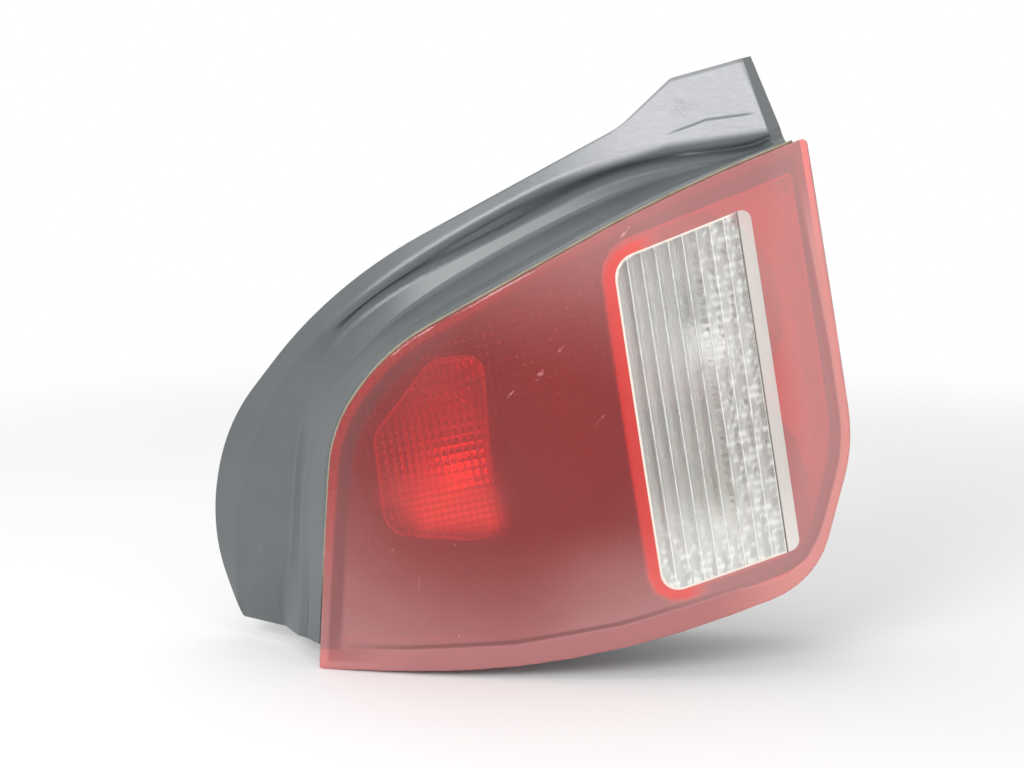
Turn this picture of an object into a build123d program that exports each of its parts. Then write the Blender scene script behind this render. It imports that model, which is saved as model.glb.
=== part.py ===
from build123d import *
import os
from math import atan2, cos, degrees, hypot, radians, sin, sqrt

# Tail light cluster for the right rear corner of a hatchback.
# Frame: +X outboard, -Y out of the car through the lens, +Z up.
# The body panel is the plane y = 0, and the origin is where the main stud leaves its boss.

# Lens face: a shallow barrel, curved more across than up
lens_sweep_radius = 650.0
lens_rise_radius = 1000.0
lens_reach = 92.0
lens_apex_x = -30.0
lens_apex_z = -115.0
lens_wall = 3.0
lens_tongue_depth = 4.0
lens_tongue_wall = 1.6

# Lens outline, clockwise from the lower inner corner: x, z and corner radius
lens_outline = [
    (-106.0, -185.0, 1.5),
    (-96.0, -51.0, 79.0),
    (-66.5, -9.0, 115.0),
    (81.0, 74.0, 800.0),
    (150.5, 101.5, 3.0),
    (179.5, -59.0, 90.0),
    (162.0, -134.0, 45.0),
    (34.5, -179.5, 575.0),
]
skirted_sides = 4
right_sides = 2

# Clear window, clockwise from its lower inner corner: x, z and corner radius
window_outline = [
    (80.5, -138.0, 10.0),
    (51.0, 38.5, 13.0),
    (121.0, 66.0, 5.0),
    (152.5, -114.0, 6.0),
]
window_gap = 0.05
window_strip = 7.0
optic_lean = 9.7
flute_count = 9
flute_pitch = 7.4
flute_height = 1.4
flute_margin = 1.5
flute_span = 215.0

# Optic rows moulded on the back of the lens over the stop lamp
row_lean = 13.0
row_pitch = 4.9
row_width = 2.6
row_height = 0.6

# Seal and housing
seal_wall = 1.0
seal_width = 4.5
seal_lead = 1.9
rim_inset_skirt = 2.5
rim_inset_right = 6.0
rim_inset_bottom = 13.0
housing_wall = 2.8
back_wall = 3.0
back_stand = 8.0
fit_gap = 0.3

# Gutter skirt: stations along the inner and top edge of the lens.
# Each row: share of the edge, then out from the edge and depth behind it for
# the wall foot, the step, the gutter floor, the fold and the lip
skirt_wall = 2.6
skirt_bend = 6.0
skirt_start = 1.4
skirt_stations = [
    (0.000, (14.0, 13.5), (19.0, 17.0), (26.0, 30.0), (58.0, 46.5), (92.0, 69.0)),
    (0.170, (14.0, 15.0), (19.0, 19.0), (27.0, 32.0), (63.0, 47.5), (98.0, 69.0)),
    (0.290, (11.5, 14.5), (16.5, 19.5), (26.0, 32.0), (49.0, 40.0), (90.0, 66.0)),
    (0.385, (8.0, 12.0), (14.0, 20.5), (27.5, 31.0), (36.5, 29.0), (86.0, 63.0)),
    (0.520, (6.0, 11.0), (14.5, 25.0), (26.5, 30.0), (34.5, 24.5), (76.0, 58.0)),
    (0.690, (6.0, 10.5), (14.0, 23.5), (24.0, 27.5), (34.0, 19.5), (74.0, 52.0)),
    (0.840, (4.0, 7.0), (8.5, 14.5), (14.5, 17.0), (22.5, 10.0), (68.0, 45.0)),
    (0.960, (2.6, 4.6), (4.0, 7.0), (6.0, 7.6), (9.0, 4.4), (62.0, 38.0)),
]
horn_return = 7.0
horn_return_drop = 11.0

# Skirt outline seen from behind the car, clockwise from the cut end: x, z and corner radius
skirt_outline = [
    (-161.6, -173.0, 2.0),
    (-183.3, -121.3, 91.0),
    (-171.9, -62.2, 115.0),
    (-101.4, 23.1, 295.0),
    (52.5, 106.7, 45.0),
    (78.9, 132.7, 7.0),
    (140.0, 149.7, 2.0),
    (170.0, 100.0, 2.0),
    (100.0, 20.0, 2.0),
    (-60.0, -70.0, 2.0),
    (-60.0, -173.0, 2.0),
]
gusset_wall = 2.0
gusset_stations = (1, 2, 3, 4, 5)

# Fixing studs
stud_radius = 3.0
stud_length = 20.0
stud_root = 7.0
stud_collar_radius = 4.5
stud_chamfer = 0.8
boss_radius = 8.0
stud_main_place = (0.0, 0.0)
stud_lower_place = (-72.0, -138.0)
stud_outer_place = (146.0, -28.0)

# Bulbs
stop_place = (-38.0, -62.0)
reverse_place = (92.0, 12.0)
indicator_place = (106.0, -88.0)
cap_radius = 7.5
cap_length = 18.0
cap_wall = 0.8
cap_pin_radius = 1.0
cap_pin_reach = 1.0
cap_pin_back = 8.0
cap_end = 5.6
contact_radius = 1.6
contact_height = 0.6
contact_spread = 2.9
contact_turn = 30.0
earth_turn = 120.0
reverse_earth_turn = 180.0
glass_radius = 12.5
glass_length = 34.0
glass_wall = 0.8
glass_neck_radius = 6.3
glass_neck_sink = 3.0

# Bulb holder
holder_margin = 22.0
holder_wall = 3.0
gasket_wall = 2.0
gasket_width = 4.0
socket_radius = 12.0
socket_reach = 14.0
socket_floor = 1.6
socket_gap = 0.25
collar_wall = 2.5
collar_height = 7.0
snap_width = 12.0
snap_lip = 0.8
connector_place = (30.0, -45.0)
connector_width = 32.0
connector_height = 16.0
connector_depth = 15.0
connector_wall = 1.6

# Contact strips
strip_wall = 0.6
strip_width = 3.4
pin_pitch = 5.0
pin_width = 2.3
pin_wall = 0.8
pin_length = 11.0
# Routes: each point is an anchor with an offset from it in x and z
strip_routes = {
    "earth_strip": [
        [("stop_earth", 0.0, 0.0), ("stop", 1.0, 15.0), ("plug", -10.0, 17.0),
         ("plug", 0.0, 13.0), ("pin_2", 0.0, 0.0)],
        [("plug", 0.0, 13.0), ("plug", 10.0, 23.0), ("reverse", -12.0, 0.0),
         ("reverse_earth", 0.0, 0.0)],
        [("pin_2", 0.0, 0.0), ("plug", 0.0, -18.0), ("indicator", -54.0, -6.0),
         ("indicator_earth", 0.0, 0.0)],
    ],
    "tail_strip": [[("tail_contact", 0.0, 0.0), ("plug", -25.0, -7.0), ("pin_0", 0.0, 0.0)]],
    "stop_strip": [
        [("stop_contact", 0.0, 0.0), ("stop", 3.5, -9.0), ("plug", -16.0, -26.0),
         ("plug", -5.0, -14.0), ("pin_1", 0.0, 0.0)],
    ],
    "reverse_strip": [
        [("pin_4", 0.0, 0.0), ("plug", 18.0, 8.0), ("reverse", 0.0, -16.0),
         ("reverse_contact", 0.0, 0.0)],
    ],
    "indicator_strip": [
        [("pin_3", 0.0, 0.0), ("plug", 5.0, -14.0), ("indicator", -49.0, 5.0),
         ("indicator_contact", 0.0, 0.0)],
    ],
}

# Reflectors
reflector_wall = 1.5
reflector_gap = 2.0
bowl_apex = 22.0
stop_bowl_radius = 60.0
signal_bowl_radius = 64.0
neck_gap = 2.0
stop_mouth = [
    (-66.0, -106.0, 12.0),
    (-72.5, -54.0, 12.0),
    (-42.0, -14.0, 12.0),
    (-17.0, -11.0, 8.0),
    (-8.0, -108.0, 12.0),
]
signal_left = 7.0
signal_top = 8.0
signal_right = 60.0
signal_bottom = 3.0
shelf_depth = 16.0

# Foam gasket and breather
foam_wall = 10.0
foam_width = 8.0
foam_inset = 1.5
vent_place = (-80.0, -88.0)
vent_radius = 4.0
vent_bore = 2.4
vent_length = 9.0
vent_cap_wall = 1.6
vent_cap_length = 10.0

# Corner rounds: the share of a side that its two rounds may use, and the smallest round
corner_share = 0.98
corner_least = 0.6
# How far the shapes that trim reach past what they trim
trim_margin = 60.0


def half_turn_tangent(before, corner, after):
    # tangent of half the turn that an outline makes at a corner
    ax, az = corner[0] - before[0], corner[1] - before[1]
    bx, bz = after[0] - corner[0], after[1] - corner[1]
    return abs(ax * bz - az * bx) / (hypot(ax, az) * hypot(bx, bz) + ax * bx + az * bz)


def fitted_radii(points, radii, closed):
    # corner radii, each limited by the two sides that it joins
    count = len(points)
    corners = range(count) if closed else range(1, count - 1)
    needed = [0.0] * count
    for i in corners:
        needed[i] = radii[i] * half_turn_tangent(points[i - 1], points[i], points[(i + 1) % count])
    share = [1.0] * count
    for i in range(count if closed else count - 1):
        j = (i + 1) % count
        side = hypot(points[j][0] - points[i][0], points[j][1] - points[i][1])
        if needed[i] + needed[j] > corner_share * side:
            fit = corner_share * side / (needed[i] + needed[j])
            share[i] = min(share[i], fit)
            share[j] = min(share[j], fit)
    return [radii[i] * share[i] for i in corners]


def outline_wire(corners):
    # closed outline in the x-z plane with its own radius at each corner
    points = [(x, z) for x, z, radius in corners]
    radii = [radius for x, z, radius in corners]
    return FilletPolyline(*points, radius=fitted_radii(points, radii, True), close=True)


def open_line(points, radius):
    # open line with rounded corners
    return FilletPolyline(*points, radius=fitted_radii(points, [radius] * len(points), False))


def shifted(points, shifts, closed=True):
    # corner points after each side moves to its right by its own distance
    count = len(points)
    sides = count if closed else count - 1
    lines = []
    for i in range(sides):
        (ax, az), (bx, bz) = points[i], points[(i + 1) % count]
        length = hypot(bx - ax, bz - az)
        dx, dz = (bx - ax) / length, (bz - az) / length
        lines.append((ax + dz * shifts[i], az - dx * shifts[i], dx, dz, length))
    moved = []
    for i in range(count):
        if not closed and i in (0, count - 1):
            x, z, dx, dz, length = lines[min(i, sides - 1)]
            reach = 0.0 if i == 0 else length
            moved.append((x + dx * reach, z + dz * reach))
            continue
        x1, z1, dx1, dz1, length = lines[i - 1]
        x2, z2, dx2, dz2, length = lines[i % sides]
        turn = dx1 * dz2 - dz1 * dx2
        travel = ((x2 - x1) * dz2 - (z2 - z1) * dx2) / turn
        moved.append((x1 + dx1 * travel, z1 + dz1 * travel))
    return moved


def inset_outline(corners, insets):
    # the outline drawn in by one distance per side, corner radii following
    points = shifted([(x, z) for x, z, radius in corners], insets)
    moved = []
    for i, (x, z) in enumerate(points):
        inset = max(insets[i - 1], insets[i])
        moved.append((x, z, max(corners[i][2] - inset, corner_least)))
    return moved


def prism(outline, front, rear):
    # solid of an outline between two planes of constant y
    face = make_face(outline) if isinstance(outline, Wire | Curve | BaseLineObject) else outline
    return extrude(Plane((0, rear, 0), (1, 0, 0), (0, -1, 0)) * face, amount=rear - front)


def deep_prism(outline):
    return prism(outline, -lens_reach - trim_margin, 0.0)


def face_y(x, z, depth=0.0):
    # y of the lens face, moved into the lamp by depth
    arc = lens_rise_radius - depth
    reach = lens_sweep_radius - lens_rise_radius + sqrt(arc**2 - (z - lens_apex_z) ** 2)
    return lens_sweep_radius - lens_reach - sqrt(reach**2 - (x - lens_apex_x) ** 2)


def behind_face(depth):
    # everything behind the lens face moved into the lamp by depth
    arc = lens_rise_radius - depth
    centre = lens_sweep_radius - lens_rise_radius
    top = max(z for x, z, radius in lens_outline + skirt_outline) + trim_margin - lens_apex_z
    low = min(z for x, z, radius in lens_outline) - trim_margin - lens_apex_z
    top_reach = centre + sqrt(arc**2 - top**2)
    low_reach = centre + sqrt(arc**2 - low**2)
    front = ThreePointArc((low_reach, low), (centre + arc, 0), (top_reach, top))
    rest = Polyline((top_reach, top), (0, top), (0, low), (low_reach, low))
    barrel = revolve(Plane.XZ * make_face(Curve() + [front, rest]), Axis.Z)
    return Pos(lens_apex_x, lens_sweep_radius - lens_reach, lens_apex_z) * barrel


def side_insets(skirt, right, bottom):
    # one inset per side of the lens outline
    bottom_sides = len(lens_outline) - skirted_sides - right_sides
    return [skirt] * skirted_sides + [right] * right_sides + [bottom] * bottom_sides


def rim_outline(extra):
    # the housing rim, drawn in further by extra
    insets = side_insets(rim_inset_skirt + extra, rim_inset_right + extra, rim_inset_bottom + extra)
    return outline_wire(inset_outline(lens_outline, insets))


def at_place(place, shape, y=0.0):
    # shape drawn about the Y axis, moved to a place in the x-z plane
    return Pos(place[0], y, place[1]) * shape


def rod(place, radius, front, rear):
    # round bar along Y
    return prism(Pos(place[0], place[1]) * Circle(radius), front, rear)


def turned(place, points):
    # ring or cup turned about the Y axis from (radius, y) points
    profile = make_face(Polyline(*points, close=True))
    return at_place(place, revolve(profile, Axis.Y))


def optic_rows():
    # flat pattern of the low ribs on the back of the lens, over the stop reflector
    xs = [x for x, z, radius in stop_mouth]
    zs = [z for x, z, radius in stop_mouth]
    reach = hypot(max(xs) - min(xs), max(zs) - min(zs))
    count = int(reach / row_pitch / 2)
    rows = Sketch() + [
        Pos(0, i * row_pitch) * Rectangle(reach * 2, row_width) for i in range(-count, count + 1)
    ]
    rows = Pos(*stop_place) * Rot(0, 0, row_lean) * rows
    return rows & make_face(outline_wire(stop_mouth))


def make_outer_lens():
    shell = behind_face(0) - behind_face(lens_wall)
    plate = shell & deep_prism(outline_wire(lens_outline))
    tongue_band = deep_prism(rim_outline(housing_wall + fit_gap))
    tongue_band -= deep_prism(rim_outline(housing_wall + fit_gap + lens_tongue_wall))
    tongue_shell = behind_face(lens_wall) - behind_face(lens_wall + lens_tongue_depth)
    opening = inset_outline(window_outline, [-window_gap] * len(window_outline))
    lens = plate + (tongue_shell & tongue_band) - deep_prism(outline_wire(opening))
    row_shell = behind_face(lens_wall) - behind_face(lens_wall + row_height)
    return lens + (row_shell & deep_prism(optic_rows()))


def make_clear_window():
    shell = behind_face(0) - behind_face(lens_wall)
    plate = shell & deep_prism(outline_wire(window_outline))
    centre_x = sum(x for x, z, radius in window_outline) / len(window_outline)
    centre_z = sum(z for x, z, radius in window_outline) / len(window_outline)
    lean = radians(optic_lean)
    flute_radius = (flute_pitch**2 / 4 + flute_height**2) / (2 * flute_height)
    path_depth = lens_wall + flute_height - flute_radius
    flutes = Part()
    for i in range(flute_count):
        across = (i - (flute_count - 1) / 2) * flute_pitch - window_strip / 2
        points = []
        for along in (-flute_span / 2, 0.0, flute_span / 2):
            x = centre_x + across * cos(lean) - along * sin(lean)
            z = centre_z + across * sin(lean) + along * cos(lean)
            points.append((x, face_y(x, z, path_depth), z))
        path = ThreePointArc(*points)
        flutes += sweep(Plane(origin=path @ 0, z_dir=path % 0) * Circle(flute_radius), path)
    inner = inset_outline(window_outline, [flute_margin] * len(window_outline))
    return plate + (flutes & behind_face(lens_wall / 2) & deep_prism(outline_wire(inner)))


def make_lens_seal():
    shell = behind_face(lens_wall) - behind_face(lens_wall + seal_wall)
    band = deep_prism(rim_outline(-seal_lead)) - deep_prism(rim_outline(seal_width - seal_lead))
    return shell & band


def skirt_section(station):
    # front line of the skirt in one station plane, as (out from the lens edge, y)
    edge_points = [(x, z) for x, z, radius in lens_outline[: skirted_sides + 1]]
    edge_radii = [radius for x, z, radius in lens_outline[1:skirted_sides]]
    edge = FilletPolyline(*edge_points, radius=edge_radii)
    share, *turns = station
    foot = edge.position_at(share)
    along = edge.tangent_at(share)
    plane = Plane((foot.X, 0, foot.Y), (-along.Y, 0, along.X), (-along.X, 0, -along.Y))
    edge_y = face_y(foot.X, foot.Y, lens_wall + seal_wall)
    root = -rim_inset_skirt - housing_wall / 2
    front = [(root, edge_y + skirt_start), (skirt_start, edge_y + skirt_start)]
    front += [(out, edge_y + depth) for out, depth in turns]
    return plane, front


def skirt_face(plane, front):
    # closed thin-walled section: the front line, and the same line moved back by the wall
    back = shifted(front, [-skirt_wall] * (len(front) - 1), closed=False)
    front_wire = open_line(front, skirt_bend)
    back_wire = open_line(back, skirt_bend)
    ends = [Line(front[0], back[0]), Line(front[-1], back[-1])]
    return plane * make_face(Curve() + [front_wire, back_wire] + ends)


def make_skirt():
    sections = [skirt_section(station) for station in skirt_stations]
    skirt = loft([skirt_face(plane, front) for plane, front in sections])
    end = skirt_face(*sections[-1])
    turned_back = Pos(sections[-1][0].z_dir * -horn_return + Vector(0, horn_return_drop, 0)) * end
    horn_end = loft([end, turned_back], ruled=True)
    trimmed = (skirt + horn_end) & deep_prism(outline_wire(skirt_outline))
    return trimmed - deep_prism(rim_outline(housing_wall / 2))


def make_gusset(station):
    # web between the rim wall and the back of the skirt
    plane, front = skirt_section(station)
    back = shifted(front, [-skirt_wall / 2] * (len(front) - 1), closed=False)
    web = [back[0]] + back[1:5] + [(back[0][0], back[4][1])]
    face = make_face(Polyline(*web, close=True))
    return extrude(plane * face, amount=gusset_wall / 2, both=True)


def bulb_places():
    return [stop_place, reverse_place, indicator_place]


def holder_face(margin):
    # rounded triangle round the three bulbs
    return offset(make_face(Polyline(*bulb_places(), close=True)), margin)


def snap_noses():
    # noses on the collar that hold the plate edge down, half-way along each side
    noses = Sketch()
    places = bulb_places()
    depth = snap_lip + fit_gap + collar_wall / 2
    for start, end in zip(places, places[1:] + places[:1]):
        turn = degrees(atan2(end[1] - start[1], end[0] - start[0]))
        middle = Pos((start[0] + end[0]) / 2, (start[1] + end[1]) / 2)
        nose = Pos(0, holder_margin - snap_lip + depth / 2) * Rectangle(snap_width, depth)
        noses += middle * Rot(0, 0, turn) * nose
    return noses


def make_housing():
    rim = make_face(rim_outline(0)) - make_face(rim_outline(housing_wall))
    body = prism(rim, -lens_reach - trim_margin, -back_stand) & behind_face(lens_wall + seal_wall)
    body += prism(rim_outline(0), -back_stand - back_wall, -back_stand)
    for index in gusset_stations:
        body += make_gusset(skirt_stations[index])
    body += make_skirt()
    collar = holder_face(holder_margin + fit_gap + collar_wall) - holder_face(holder_margin + fit_gap)
    body += prism(collar, -back_stand, -back_stand + collar_height)
    body += prism(snap_noses(), plate_rear(), -back_stand + collar_height)
    for place in bulb_places():
        body -= rod(place, socket_radius + neck_gap / 2, -back_stand - back_wall, -back_stand)
    for place in (stud_main_place, stud_lower_place, stud_outer_place):
        body += rod(place, boss_radius, -back_stand - back_wall, 0.0)
        body -= stud_seat(place)
    body += rod(vent_place, vent_radius, -back_stand, -back_stand + vent_length)
    body -= rod(vent_place, vent_bore, -back_stand - back_wall, -back_stand + vent_length)
    return body


def stud_seat(place):
    # the stud's moulded-in collar, flush with its boss
    return rod(place, stud_collar_radius, -stud_root, 0.0)


def make_stud(place):
    shank = stud_length - stud_chamfer
    points = [(0, 0), (stud_radius, 0), (stud_radius, shank),
              (stud_radius - stud_chamfer, stud_length), (0, stud_length)]
    return stud_seat(place) + turned(place, points)


def reflector_cup(outer_face, inner_face, bowls):
    # open cup: side wall round the mouth, floor formed by a shelf behind the lens and by bowls
    front = behind_face(lens_wall + reflector_gap)
    outer = deep_prism(outer_face) & front
    inner = deep_prism(inner_face) & front
    cup = outer - behind_face(shelf_depth + reflector_wall)
    hollow = inner - behind_face(shelf_depth)
    for place, radius in bowls:
        centre = Pos(place[0], -bowl_apex - radius, place[1])
        cup += outer & (centre * Sphere(radius + reflector_wall))
        hollow += inner & (centre * Sphere(radius))
    cup -= hollow
    for place, radius in bowls:
        hole = socket_radius + neck_gap / 2
        neck = rod(place, hole + reflector_wall, -bowl_apex - reflector_wall, -back_stand - back_wall)
        neck -= at_place(place, Sphere(radius), -bowl_apex - radius)
        cup += neck
        cup -= rod(place, hole, -bowl_apex - radius, -back_stand - back_wall)
    return cup


def make_stop_reflector():
    inner = make_face(outline_wire(stop_mouth))
    outer = make_face(outline_wire(inset_outline(stop_mouth, [-reflector_wall] * len(stop_mouth))))
    return reflector_cup(outer, inner, [(stop_place, stop_bowl_radius)])


def signal_mouth(wall):
    # the outboard part of the lamp inside the lens tongue, drawn in by wall
    tongue = housing_wall + fit_gap + lens_tongue_wall + fit_gap
    sides = [signal_left, signal_top, signal_right, signal_bottom]
    region = inset_outline(window_outline, [wall - side for side in sides])
    return make_face(rim_outline(tongue + wall)) & make_face(outline_wire(region))


def make_signal_reflector():
    bowls = [(reverse_place, signal_bowl_radius), (indicator_place, signal_bowl_radius)]
    return reflector_cup(signal_mouth(0.0), signal_mouth(reflector_wall), bowls)


def plate_rear():
    return -back_stand + gasket_wall + holder_wall


def turned_place(place, reach, turn):
    # point at a distance from a place, in the direction of turn degrees from +X
    return place[0] + reach * cos(radians(turn)), place[1] + reach * sin(radians(turn))


def strip_anchors():
    # named points that the contact strips start from, pass by and end at
    side = cap_radius - contact_radius
    anchors = {
        "stop": stop_place,
        "reverse": reverse_place,
        "indicator": indicator_place,
        "plug": connector_place,
        "stop_earth": turned_place(stop_place, side, earth_turn),
        "reverse_earth": turned_place(reverse_place, side, reverse_earth_turn),
        "indicator_earth": turned_place(indicator_place, side, -earth_turn),
        "tail_contact": turned_place(stop_place, contact_spread, contact_turn),
        "stop_contact": turned_place(stop_place, -contact_spread, contact_turn),
        "reverse_contact": reverse_place,
        "indicator_contact": indicator_place,
    }
    for i in range(len(strip_routes)):
        across = (i - (len(strip_routes) - 1) / 2) * pin_pitch
        anchors[f"pin_{i}"] = (connector_place[0] + across, connector_place[1])
    return anchors


def strip_path(name):
    # a strip's runs, its contact buttons and its connector pin, in the x-z plane
    anchors = strip_anchors()
    routes = strip_routes[name]
    runs = [[(anchors[a][0] + dx, anchors[a][1] + dz) for a, dx, dz in route] for route in routes]
    used = {a for route in routes for a, dx, dz in route}
    buttons = [anchors[a] for a in sorted(used) if a.endswith(("_earth", "_contact"))]
    pin = next(anchors[a] for a in used if a.startswith("pin_"))
    return runs, buttons, pin


def strip_face(runs, width):
    # flat pattern of a strip: its runs widened, with round ends and bends
    face = Sketch()
    for run in runs:
        for start, end in zip(run, run[1:]):
            length = hypot(end[0] - start[0], end[1] - start[1])
            bar = SlotCenterToCenter(length, width)
            turn = degrees(atan2(end[1] - start[1], end[0] - start[0]))
            middle = ((start[0] + end[0]) / 2, (start[1] + end[1]) / 2)
            face += Pos(*middle) * Rot(0, 0, turn) * bar
    return face


def make_strip(name):
    runs, buttons, pin = strip_path(name)
    rear = plate_rear()
    strip = prism(strip_face(runs, strip_width), rear, rear + strip_wall)
    tip = -cap_end + contact_height
    for button in buttons:
        reach = -cap_end if name == "earth_strip" else tip
        strip += rod(button, contact_radius, reach, rear + strip_wall)
    blade = Pos(*pin) * Rectangle(pin_width, pin_wall)
    return strip + prism(blade, rear, rear + pin_length)


def make_bulb_holder():
    front = -back_stand + gasket_wall
    rear = plate_rear()
    body = prism(holder_face(holder_margin), front, rear)
    for place in bulb_places():
        body += rod(place, socket_radius, front - socket_reach, front)
        body -= rod(place, cap_radius + socket_gap, front - socket_reach, rear - socket_floor)
        groove = Pos(*place) * Rectangle(2 * (cap_radius + cap_pin_reach + socket_gap),
                                         2 * (cap_pin_radius + socket_gap))
        body -= prism(groove, front - socket_reach, -cap_end - cap_pin_back + cap_pin_radius + socket_gap)
    shroud = Pos(*connector_place) * Rectangle(connector_width, connector_height)
    cavity = Pos(*connector_place) * Rectangle(connector_width - 2 * connector_wall,
                                               connector_height - 2 * connector_wall)
    body += prism(shroud - cavity, rear, rear + connector_depth)
    for name in strip_routes:
        runs, buttons, pin = strip_path(name)
        passage = strip_face(runs, strip_width + 2 * fit_gap)
        body -= prism(passage, rear, rear + strip_wall + fit_gap)
        for button in buttons:
            body -= rod(button, contact_radius + fit_gap, rear - socket_floor, rear)
    return body


def make_holder_gasket():
    ring = holder_face(holder_margin) - holder_face(holder_margin - gasket_width)
    return prism(ring, -back_stand, -back_stand + gasket_wall)


def make_bulb_cap(place, contacts):
    front = -cap_end - cap_length
    cap = rod(place, cap_radius, front, -cap_end)
    cap -= rod(place, cap_radius - cap_wall, front, front + glass_neck_sink)
    pin_span = 2 * (cap_radius + cap_pin_reach)
    cross_pin = Rot(0, 90, 0) * Cylinder(cap_pin_radius, pin_span)
    cap += at_place(place, cross_pin, -cap_end - cap_pin_back)
    for contact in contacts:
        cap += rod(contact, contact_radius, -cap_end, -cap_end + contact_height)
    return cap


def make_bulb_glass(place):
    # pear-shaped envelope, open where the cap closes it
    root = -cap_end - cap_length + glass_neck_sink
    centre = root - glass_neck_sink - glass_length + glass_radius
    shoulder = centre + glass_radius
    envelopes = []
    for wall in (0.0, glass_wall):
        ball, neck = glass_radius - wall, glass_neck_radius - wall
        half = ball * sqrt(0.5)
        dome = ThreePointArc((0, centre - ball), (half, centre - half), (ball, centre))
        waist = Spline((ball, centre), (neck, shoulder), tangents=[(0, 1), (0, 1)])
        rest = Polyline((neck, shoulder), (neck, root), (0, root), (0, centre - ball))
        envelopes.append(revolve(make_face(Curve() + [dome, waist, rest]), Axis.Y))
    return at_place(place, envelopes[0] - envelopes[1])


def make_body_gasket():
    ring = make_face(rim_outline(foam_inset)) - make_face(rim_outline(foam_inset + foam_width))
    return prism(ring, -back_stand, -back_stand + foam_wall)


def make_vent_cap():
    front = -back_stand + vent_length + vent_cap_wall - vent_cap_length
    rear = -back_stand + vent_length
    cap = rod(vent_place, vent_radius + vent_cap_wall, front, rear + vent_cap_wall)
    return cap - rod(vent_place, vent_radius, front, rear)


def make_all():
    nodes = {
        "outer_lens": make_outer_lens(),
        "clear_window": make_clear_window(),
        "lens_seal": make_lens_seal(),
        "housing": make_housing(),
        "stop_reflector": make_stop_reflector(),
        "signal_reflector": make_signal_reflector(),
        "bulb_holder": make_bulb_holder(),
        "holder_gasket": make_holder_gasket(),
        "body_gasket": make_body_gasket(),
        "vent_cap": make_vent_cap(),
    }
    anchors = strip_anchors()
    bulbs = {"stop": ("tail_contact", "stop_contact"), "reverse": ("reverse_contact",),
             "indicator": ("indicator_contact",)}
    for name, contacts in bulbs.items():
        nodes[name + "_bulb_glass"] = make_bulb_glass(anchors[name])
        nodes[name + "_bulb_cap"] = make_bulb_cap(anchors[name], [anchors[a] for a in contacts])
    for name in strip_routes:
        nodes[name] = make_strip(name)
    studs = {"main": stud_main_place, "lower": stud_lower_place, "outer": stud_outer_place}
    for name, place in studs.items():
        nodes["stud_" + name] = make_stud(place)
    return nodes


os.makedirs("parts", exist_ok=True)
for node, solid in make_all().items():
    export_step(solid, f"parts/{node}.step")
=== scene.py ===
import math

import bmesh
import bpy
from mathutils import Matrix, Vector


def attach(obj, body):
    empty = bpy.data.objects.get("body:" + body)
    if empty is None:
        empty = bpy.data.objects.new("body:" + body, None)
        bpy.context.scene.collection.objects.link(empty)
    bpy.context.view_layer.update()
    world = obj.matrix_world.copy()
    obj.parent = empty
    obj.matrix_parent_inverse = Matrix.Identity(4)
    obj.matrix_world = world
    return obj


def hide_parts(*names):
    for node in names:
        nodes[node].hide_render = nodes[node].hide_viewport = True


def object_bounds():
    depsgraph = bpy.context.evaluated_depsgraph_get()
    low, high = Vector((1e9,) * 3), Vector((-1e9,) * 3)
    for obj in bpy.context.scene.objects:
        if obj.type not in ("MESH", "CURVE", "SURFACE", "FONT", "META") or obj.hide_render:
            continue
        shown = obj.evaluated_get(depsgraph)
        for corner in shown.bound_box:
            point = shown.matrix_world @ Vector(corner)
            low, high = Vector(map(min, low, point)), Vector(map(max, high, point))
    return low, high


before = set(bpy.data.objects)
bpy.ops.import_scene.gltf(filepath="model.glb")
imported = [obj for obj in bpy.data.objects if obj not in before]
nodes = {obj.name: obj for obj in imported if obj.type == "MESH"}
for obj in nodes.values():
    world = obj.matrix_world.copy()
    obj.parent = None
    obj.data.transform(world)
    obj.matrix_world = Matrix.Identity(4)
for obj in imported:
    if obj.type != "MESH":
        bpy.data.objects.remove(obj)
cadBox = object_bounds()
mm = 0.001
print("frame loaded:", len(nodes), "nodes")


def paint(red, green, blue):  # screen colour 0 to 255, as a linear colour with alpha
    linear = []
    for level in (red, green, blue):
        share = level / 255
        linear.append(share / 12.92 if share < 0.04045 else ((share + 0.055) / 1.055) ** 2.4)
    return (*linear, 1.0)


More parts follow.
